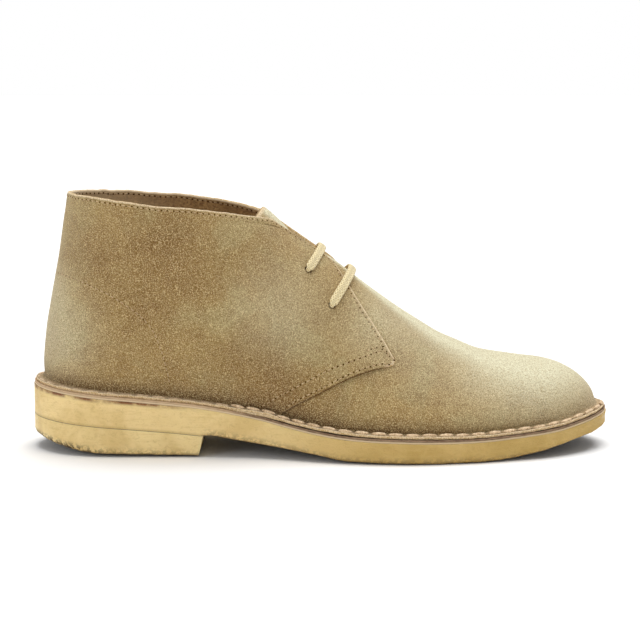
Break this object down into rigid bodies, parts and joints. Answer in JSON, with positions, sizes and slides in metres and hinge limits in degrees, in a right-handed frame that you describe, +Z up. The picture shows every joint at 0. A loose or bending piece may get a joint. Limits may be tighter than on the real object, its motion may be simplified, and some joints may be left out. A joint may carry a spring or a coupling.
{
  "type": "chukka boot",
  "caption": "Low ankle boot with stitched-down suede upper, open collar and throat, tongue, lace over the facings, and a thick crepe sole with a heel block.",
  "frame": {"origin": "on the floor under the middle of the boot's bounding box", "axes": "+X from heel to toe, -Y to the outer side of a right foot, +Z up from the floor"},
  "size_m": [0.3008, 0.1066, 0.133],
  "materials": {
    "suede": "napped sand suede",
    "crepe": "amber crepe rubber, satin",
    "board": "grey-brown midsole board, matt edge",
    "lining": "dark unlined suede reverse and footbed",
    "lace_cotton": "flat braided cotton"
  },
  "bodies": {
    "root": {"outsole": "crepe", "heel": "crepe", "midsole": "board", "insole": "lining", "upper": "suede", "tongue": "suede", "lace": "lace_cotton"}
  },
  "joints": []
}
